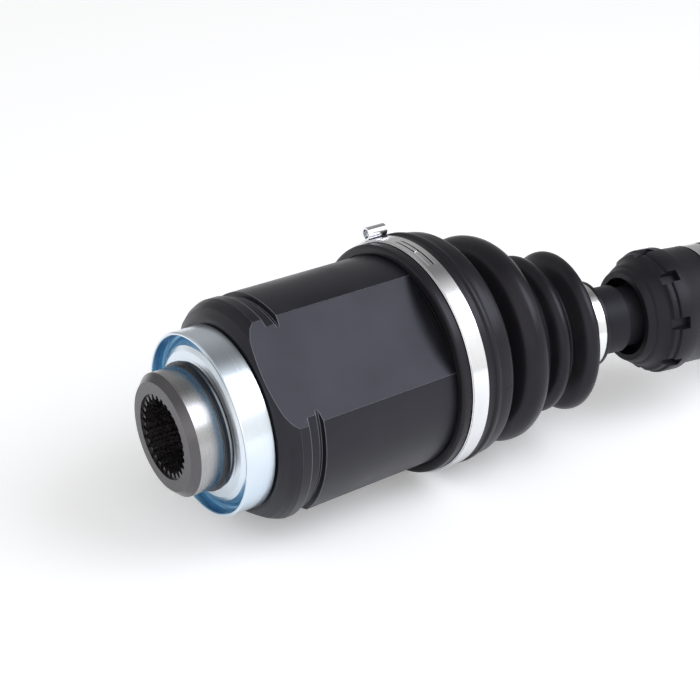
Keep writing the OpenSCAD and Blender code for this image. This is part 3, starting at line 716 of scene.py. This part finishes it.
# %% [markdown]
# From the ear on, a second layer of strip lies over half of the band. On the large clamps two
# slits run beside its locking tongue, from 20 to 45 degrees past the ear. Their floors are dark
# slivers of painted shade and get the second material. The strip is 0.7 mm thick, as on the real
# ones.

# %% Band clamps
LAP_REACH, SLITS_FROM, SLITS_TO, TONGUE_TIP = 182, 20, 45, 33
LAP_HIGH, SLIT_HIGH, BAND_FIT = STRIP * 0.55, 0.06, 0.05
LAP_INSET, SLIT_INSET, TIP_GAP = 0.2, 0.3, math.radians(1)
FIRST_SLIT, SECOND_SLIT = (2.2, 2.9), (4.3, 5.0)


def slit_layer(place, x, width, phase, base):
    """The second layer of a large clamp, and the floors of its slits, dark as painted shade."""
    near, far, tip, end = (phase + math.radians(turn)
                           for turn in (SLITS_FROM, SLITS_TO, TONGUE_TIP, LAP_REACH))
    edge, other_edge = SLIT_INSET, width - SLIT_INSET
    solid = [(edge, other_edge, phase, near), (edge, FIRST_SLIT[0], near, far),
             (FIRST_SLIT[1], SECOND_SLIT[0], near, tip), (SECOND_SLIT[1], other_edge, near, far),
             (FIRST_SLIT[0], SECOND_SLIT[0], tip + TIP_GAP, far),
             (edge, other_edge, far, end)]
    # The slit floors are dark slivers of painted shade.
    shade_slivers = [(*FIRST_SLIT, near, tip), (*SECOND_SLIT, near, far)]
    return [[arc_strip(place, x + x0, x + x1, start, stop, base, base + high)
             for x0, x1, start, stop in rows]
            for rows, high in ((solid, LAP_HIGH), (shade_slivers, SLIT_HIGH))]


def band_clamp(name, place, finish, x, width, radius, phase, ear_radius, ear, slits=False):
    phase, outside = math.radians(phase), radius + STRIP
    parts = [arc_strip(place, x, x + width, 0, FULL_TURN, radius + BAND_FIT, outside)]
    shade_slivers = []
    if slits:
        layer, shade_slivers = slit_layer(place, x, width, phase, outside)
        parts += layer
    else:
        parts.append(arc_strip(place, x + LAP_INSET, x + width - LAP_INSET, phase,
                               phase + math.radians(LAP_REACH), outside, outside + LAP_HIGH))
    parts.append(rolled_ear(place, x + ear[0], x + ear[1], phase, outside, ear_radius))
    clamp = mesh_object(name, *joined(parts + shade_slivers), finish, 30.0)
    clamp.data.materials.append(SLIT_PAINTED_SHADE)
    first_shade_sliver = len(clamp.data.polygons) - sum(len(faces) for points, faces in shade_slivers)
    for face in list(clamp.data.polygons)[first_shade_sliver:]:
        face.material_index = 1
    return clamp


BALL_X = SPAN / MM
LARGE = dict(width=7.5, radius=44.6, ear_radius=2.4, slits=True)
SMALL = dict(radius=16.4, ear_radius=1.8)
CLAMPS = [
    ("inner_boot_large_clamp", "tulip", HOUSING, INNER_BAND,
     dict(LARGE, x=100.3, phase=-25, ear=(0.7, 9.0))),
    ("inner_boot_small_clamp", "shaft", SHAFT, SHAFT_BAND,
     dict(SMALL, x=96.8, width=3.8, phase=150, ear=(0.2, 3.6))),
    ("outer_boot_small_clamp", "shaft", SHAFT, SHAFT_BAND,
     dict(SMALL, x=BALL_X - 101.5, width=6.0, phase=200, ear=(0.2, 5.8))),
    ("outer_boot_large_clamp", "bell", SHAFT, SHAFT_BAND,
     dict(LARGE, x=BALL_X - 11, phase=20, ear=(0.2, 7.3))),
    ("damper_clamp", "shaft", SHAFT, SHAFT_BAND,
     dict(SMALL, x=150.4, width=7.0, radius=23.0, phase=20, ear=(0.2, 6.8)))]
for node_name, body, place, finish, sizes in CLAMPS:
    clamp = band_clamp(node_name + "_strip", place, finish, **sizes)
    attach(clamp, body)
    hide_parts(node_name)
print("clamps", len(CLAMPS))

# %% [markdown]
# The damper is a block of rubber moulded round an iron ring. Round its step runs a row of notches
# that hold it in the mould. It is turned from an outline. Inside a notch the outline is kept
# below the notch's floor, and extra points at both of its ends make the walls steep.

# %% Damper
DAMPER_R, DAMPER_STEP, DAMPER_SIDES = 25.2, 129.6, 360
NOTCH_FLOOR, NOTCH_HALF, NOTCHES, NOTCH_PHASE = 22.6, 2.2, 8, 0.73
NOTCH_FROM, NOTCH_TO, NOTCH_WALL = DAMPER_STEP - 3.0, DAMPER_STEP + 4.0, 0.02
DAMPER = [(119.0, 15.8), (119.0, 18.0), (119.6, 18.6), (121.8, 19.4), (122.4, 20.2),
          (123.0, 20.6), (125.0, 21.3), (126.4, 22.4), (127.3, 23.8), (128.0, 24.1),
          (DAMPER_STEP, 24.1), (DAMPER_STEP + 0.4, 25.0), (DAMPER_STEP + 1.0, DAMPER_R),
          (137.0, DAMPER_R), (140.0, 23.8), (149.5, 23.6), (149.9, 23.0), (157.9, 23.0),
          (158.3, 23.6), (165.0, 23.6), (166.4, 22.9), (167.0, 21.6), (167.0, BAR_FIT_R),
          (126.0, BAR_FIT_R), (126.0, 15.8)]


def outline_with_notch_ends():
    cuts = (NOTCH_FROM, NOTCH_FROM + NOTCH_WALL, NOTCH_TO - NOTCH_WALL, NOTCH_TO)
    outline = []
    for i, (x, r) in enumerate(DAMPER):
        next_x, next_r = DAMPER[(i + 1) % len(DAMPER)]
        outline.append((x, r))
        outline += [(cut, r + (next_r - r) * (cut - x) / (next_x - x))
                    for cut in cuts if x < cut < next_x]
    return outline


def in_notch(x, angle):
    aside = (-angle / FULL_TURN * NOTCHES - NOTCH_PHASE + 0.5) % 1.0 - 0.5
    within = abs(aside) * FULL_TURN / NOTCHES * DAMPER_R < NOTCH_HALF
    return within and NOTCH_FROM + NOTCH_WALL / 2 < x < NOTCH_TO - NOTCH_WALL / 2


def notched_damper(name):
    outline = outline_with_notch_ends()
    vertices = []
    for x, r in outline:
        for i in range(DAMPER_SIDES):
            angle = FULL_TURN * i / DAMPER_SIDES
            radius = min(r, NOTCH_FLOOR) if in_notch(x, angle) else r
            local = Vector((x, radius * math.sin(angle), radius * math.cos(angle)))
            vertices.append(SHAFT @ (local * MM))
    return mesh_object(name, vertices, tube_faces(len(outline), DAMPER_SIDES), DAMPER_RUBBER, 32.0)


damper = notched_damper("damper_block")
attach(damper, "shaft")
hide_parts("damper_rubber")
print("damper faces", len(damper.data.polygons))

# %% [markdown]
# Two pieces follow a rule so closely that Geometry Nodes make them: the outer boot and the
# thread. A group gets its sizes as named inputs. Its result is made real, dressed, and then
# kept as a plain mesh, without the modifier.

# %% Helpers for Geometry Nodes


def node_group(name, inputs):
    tree = bpy.data.node_groups.new(name, "GeometryNodeTree")
    identifiers = {}
    for label, kind, value in inputs:
        item = tree.interface.new_socket(name=label, in_out="INPUT", socket_type=kind)
        identifiers[item.identifier] = value
    tree.interface.new_socket(name="Geometry", in_out="OUTPUT", socket_type="NodeSocketGeometry")
    return tree, tree.nodes.new("NodeGroupInput").outputs, identifiers


def finish_group(tree, geometry):
    real = tree.nodes.new("GeometryNodeRealizeInstances")
    dressed = tree.nodes.new("GeometryNodeSetMaterial")
    tree.links.new(geometry, real.inputs[0])
    tree.links.new(real.outputs[0], dressed.inputs["Geometry"])
    tree.links.new(tree.nodes["Group Input"].outputs["Finish"], dressed.inputs["Material"])
    tree.links.new(dressed.outputs[0], tree.nodes.new("NodeGroupOutput").inputs[0])


def grown_object(name, tree, identifiers, place, finish, smooth_angle=40.0):
    host = bpy.data.objects.new(name, bpy.data.meshes.new(name))
    bpy.context.scene.collection.objects.link(host)
    modifier = host.modifiers.new(name, "NODES")
    modifier.node_group = tree
    for identifier, value in identifiers.items():
        modifier[identifier] = value
    bpy.context.view_layer.update()
    evaluated = host.evaluated_get(bpy.context.evaluated_depsgraph_get())
    mesh = bpy.data.meshes.new_from_object(evaluated)
    host.modifiers.clear()
    host.data = mesh
    mesh.transform(place)
    dress_mesh(mesh, finish, smooth_angle)
    return host


print("growing helpers ready")

# %% [markdown]
# The outer boot covers the ball joint, which bends far, so it has four deep folds, each wider and
# higher than the one before. A cosine makes the wave. It swings between the line of the valleys
# and the line of the crests, and the boot runs into its cuffs at both ends.

# %% Rule of the bellows
NUMBER, WHOLE_NUMBER, MATERIAL = "NodeSocketFloat", "NodeSocketInt", "NodeSocketMaterial"
BELLOWS_INPUTS = [
    ("Start", NUMBER, -104.0 * MM), ("End", NUMBER, 0.0),
    ("Folds start", NUMBER, -91.5 * MM), ("Folds end", NUMBER, -28.0 * MM),
    ("Folds", NUMBER, 4.0), ("Growth", NUMBER, 0.40),
    ("First valley", NUMBER, 19.5 * MM), ("Last valley", NUMBER, 36.0 * MM),
    ("First crest", NUMBER, 28.0 * MM), ("Last crest", NUMBER, 44.6 * MM),
    ("Small cuff", NUMBER, 16.4 * MM), ("Large cuff", NUMBER, 44.6 * MM),
    ("Wall", NUMBER, 2.0 * MM), ("Rings", WHOLE_NUMBER, 170), ("Sides", WHOLE_NUMBER, 145),
    ("Finish", MATERIAL, BOOT_RUBBER)]
SMALL_CUFF_EASE, LARGE_CUFF_EASE = 1.5 * MM, 9.0 * MM


def bellows_radius(tree, value, along):
    """The boot's outer radius at a place along it."""
    calc = partial(add_math, tree)
    place = ramp(tree, along, value["Folds start"], value["Folds end"])
    grown = calc("SUBTRACT", calc("MULTIPLY", place, calc("ADD", value["Growth"], 1.0)),
                 calc("MULTIPLY", calc("MULTIPLY", place, place), value["Growth"]))
    turn = calc("MULTIPLY", calc("MULTIPLY", grown, value["Folds"]), FULL_TURN)
    wave = calc("SUBTRACT", 0.5, calc("MULTIPLY", calc("COSINE", turn), 0.5))
    low = ramp(tree, place, 0.0, 1.0, value["First valley"], value["Last valley"])
    high = ramp(tree, place, 0.0, 1.0, value["First crest"], value["Last crest"])
    folded = calc("ADD", low, calc("MULTIPLY", calc("SUBTRACT", high, low), wave))
    cuff_end = calc("SUBTRACT", value["Folds start"], SMALL_CUFF_EASE)
    cuff_start = calc("ADD", value["Folds end"], LARGE_CUFF_EASE)
    begin = ramp(tree, along, cuff_end, value["Folds start"], smooth=True)
    ending = ramp(tree, along, value["Folds end"], cuff_start, smooth=True)
    from_cuff = ramp(tree, begin, 0.0, 1.0, value["Small cuff"], folded)
    return ramp(tree, ending, 0.0, 1.0, from_cuff, value["Large cuff"])


print("bellows inputs", len(BELLOWS_INPUTS))

# %% [markdown]
# A flat grid is rolled into the boot. One way across the grid is the angle. The other way runs
# along the boot on its outside and back on its inside, one wall further in, so the shell closes
# and its seams are merged.

# %% Outer boot
SEAM = 0.01 * MM


def bellows_group():
    tree, value, identifiers = node_group("bellows", BELLOWS_INPUTS)
    calc = partial(add_math, tree)
    grid = add_node(tree, "GeometryNodeMeshGrid", Size_X=1.0, Size_Y=1.0)
    tree.links.new(value["Sides"], grid.inputs["Vertices X"])
    tree.links.new(calc("ADD", calc("MULTIPLY", value["Rings"], 2.0), 1.0),
                   grid.inputs["Vertices Y"])
    position = tree.nodes.new("GeometryNodeInputPosition").outputs[0]
    across, down = split_vector(tree, position)[:2]
    angle = calc("MULTIPLY", calc("ADD", across, 0.5), FULL_TURN)
    path = calc("MULTIPLY", calc("ADD", down, 0.5), 2.0)
    share = calc("SUBTRACT", 1.0, calc("ABSOLUTE", calc("SUBTRACT", path, 1.0)))
    along = ramp(tree, share, 0.0, 1.0, value["Start"], value["End"])
    rise = calc("MINIMUM", calc("MULTIPLY", calc("SUBTRACT", path, 1.0), value["Rings"]), 1.0)
    fall = calc("MINIMUM", calc("MULTIPLY", calc("SUBTRACT", 2.0, path), value["Rings"]), 1.0)
    inner = calc("MULTIPLY", calc("MAXIMUM", calc("MINIMUM", rise, fall), 0.0), value["Wall"])
    reach = calc("SUBTRACT", bellows_radius(tree, value, along), inner)
    spot = tree.nodes.new("ShaderNodeCombineXYZ")
    tree.links.new(along, spot.inputs[0])
    tree.links.new(calc("MULTIPLY", reach, calc("SINE", angle)), spot.inputs[1])
    tree.links.new(calc("MULTIPLY", reach, calc("COSINE", angle)), spot.inputs[2])
    shaped = tree.nodes.new("GeometryNodeSetPosition")
    tree.links.new(grid.outputs["Mesh"], shaped.inputs["Geometry"])
    tree.links.new(spot.outputs[0], shaped.inputs["Position"])
    merged = add_node(tree, "GeometryNodeMergeByDistance", Distance=SEAM)
    tree.links.new(shaped.outputs[0], merged.inputs["Geometry"])
    finish_group(tree, merged.outputs[0])
    return tree, identifiers


BELL_PLACE = SHAFT @ Matrix.Translation((SPAN, 0, 0))
outer_boot = grown_object("outer_boot_bellows", *bellows_group(), BELL_PLACE, BOOT_RUBBER)
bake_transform(outer_boot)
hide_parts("outer_boot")
print("outer boot vertices", len(outer_boot.data.vertices))

# %% [markdown]
# The threaded end carries a real helix. A spiral curve is given a three-sided section, so that
# the pitch and the height of the thread are two numbers.

# %% Thread on the hub stub
THREAD_START, THREAD_LENGTH, THREAD_RADIUS, THREAD_PITCH = 94.5, 19.0, 11.0, 1.5
THREAD_HEIGHT, POINTS_PER_TURN = 0.62 * THREAD_PITCH, 64


def thread_group():
    tree, value, identifiers = node_group("thread", [
        ("Length", NUMBER, THREAD_LENGTH * MM), ("Radius", NUMBER, THREAD_RADIUS * MM),
        ("Turns", NUMBER, THREAD_LENGTH / THREAD_PITCH), ("Height", NUMBER, THREAD_HEIGHT * MM),
        ("Finish", MATERIAL, BELL_STEEL)])
    spiral = add_node(tree, "GeometryNodeCurveSpiral", Resolution=POINTS_PER_TURN)
    for label, source in (("Rotations", "Turns"), ("Start Radius", "Radius"),
                          ("End Radius", "Radius"), ("Height", "Length")):
        tree.links.new(value[source], spiral.inputs[label])
    section = add_node(tree, "GeometryNodeCurvePrimitiveCircle", Resolution=3)
    tree.links.new(value["Height"], section.inputs["Radius"])
    swept = add_node(tree, "GeometryNodeCurveToMesh", Fill_Caps=True)
    tree.links.new(spiral.outputs[0], swept.inputs["Curve"])
    tree.links.new(section.outputs[0], swept.inputs["Profile Curve"])
    finish_group(tree, swept.outputs[0])
    return tree, identifiers


thread_place = (BELL_PLACE @ Matrix.Translation((THREAD_START * MM, 0, 0))
                @ Matrix.Rotation(math.pi / 2, 4, "Y"))
thread = grown_object("hub_thread_helix", *thread_group(), thread_place, BELL_STEEL, 20.0)
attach(thread, "bell")
print("thread faces", len(thread.data.polygons))

# %% [markdown]
# The stage is a plain pale floor. Where the camera looks at it, straight or by a reflection, it
# is a little paler than it is for the light that it throws back. A faint glow lifts the shadow.

# %% Floor
FLOOR_SIZE, FLOOR_GREY, FLOOR_SEEN, SHADOW_LIFT = 6.0, 0.8, 1.28, 0.22


def floor_surface(name):
    finish = bpy.data.materials.new(name)
    finish.use_nodes = True
    tree = finish.node_tree
    tree.nodes.remove(tree.nodes["Principled BSDF"])
    rays = tree.nodes.new("ShaderNodeLightPath").outputs
    looked_at = add_math(tree, "MAXIMUM", rays["Is Camera Ray"], rays["Is Glossy Ray"])
    looked_at = add_math(tree, "MAXIMUM", looked_at, rays["Is Transmission Ray"])
    matt = tree.nodes.new("ShaderNodeBsdfDiffuse")
    shown = mix_colours(tree, looked_at, (FLOOR_GREY,) * 3, (FLOOR_SEEN,) * 3)
    tree.links.new(shown, matt.inputs["Color"])
    glow = add_node(tree, "ShaderNodeEmission", Color=(1, 1, 1, 1), Strength=1.0)
    lift = add_math(tree, "MULTIPLY", rays["Is Camera Ray"], SHADOW_LIFT)
    lifted = tree.nodes.new("ShaderNodeMixShader")
    for socket, value in zip(lifted.inputs, (lift, matt.outputs[0], glow.outputs[0])):
        tree.links.new(value, socket)
    tree.links.new(lifted.outputs[0], tree.nodes["Material Output"].inputs["Surface"])
    return finish


floor_z = CAD_BOX[0][2]
corners = [(x * FLOOR_SIZE, y * FLOOR_SIZE, floor_z)
           for x, y in ((-1, -1), (1, -1), (1, 1), (-1, 1))]
floor = mesh_object("floor", corners, [(0, 1, 2, 3)], floor_surface("floor_white"))
print("floor at mm", round(floor_z / MM, 1))

# %% [markdown]
# The room is bright in front of the object, dim above it and paler again behind and at the left,
# which keeps the top edges dark, as in the photograph. To the camera it is plain white.

# %% Room
ROOM_FRONT, ROOM_TOP, ROOM_BACK, ROOM_LEFT = 1.0, 0.22, 0.20, 0.45
FRONT_EDGE, BACK_EDGE, LEFT_EDGE = (-0.30, 0.10), (0.25, 0.70), (-0.85, -0.25)
world = bpy.data.worlds.new("room")
bpy.context.scene.world = world
world.use_nodes = True
room = world.node_tree
background = room.nodes["Background"]
background.inputs["Color"].default_value = (1, 1, 1, 1)
direction = room.nodes.new("ShaderNodeTexCoord").outputs["Generated"]
to_right, to_back = split_vector(room, direction)[:2]
around = add_math(room, "ADD", ramp(room, to_back, *FRONT_EDGE, ROOM_FRONT, ROOM_TOP),
                  ramp(room, to_back, *BACK_EDGE, 0.0, ROOM_BACK))
around = add_math(room, "ADD", around, ramp(room, to_right, *LEFT_EDGE, ROOM_LEFT, 0.0))
room_rays = room.nodes.new("ShaderNodeLightPath").outputs
direct = add_math(room, "MAXIMUM", room_rays["Is Camera Ray"], room_rays["Is Transmission Ray"])
room.links.new(add_math(room, "MAXIMUM", direct, around), background.inputs["Strength"])
print("room", world.name)

# %% [markdown]
# One softbox stands high in front and to the right. It gives the sheen on the upper flat and the
# bright line on the bands, and its light is slightly blue.

# %% Key light
FLAT_MIDDLE = Vector((0.075, -0.025, 0.025))
KEY_DIRECTION = Vector((0.43, -0.53, 0.68))
KEY_DISTANCE, KEY_SIZE, KEY_RADIANCE = 0.95, 0.56, 3.4
key_light = bpy.data.lights.new("key_box", "AREA")
key_light.shape = "SQUARE"
key_light.size = KEY_SIZE
key_light.energy = KEY_RADIANCE * math.pi * KEY_SIZE ** 2
key_light.color = (0.84, 0.89, 1.0)
key = bpy.data.objects.new("key_box", key_light)
key.location = FLAT_MIDDLE + KEY_DIRECTION * KEY_DISTANCE
key.rotation_euler = (-KEY_DIRECTION).to_track_quat("-Z", "Y").to_euler()
bpy.context.scene.collection.objects.link(key)
print("key light watts", round(key_light.energy, 2))

# %% [markdown]
# The construction's pieces are shaded smooth, with an edge wherever two faces meet at more than
# a set angle. The housing's is small, because its flats meet the lobes at shallow angles.

# %% Finish the part
SHARP_ANGLE = {"tulip_housing": 24}
USUAL_SHARP_ANGLE = 30
for node_name, node_object in frame["nodes"].items():
    angle = SHARP_ANGLE.get(node_name, USUAL_SHARP_ANGLE)
    node_object.data.shade_smooth()
    node_object.data.set_sharp_from_angle(angle=math.radians(angle))
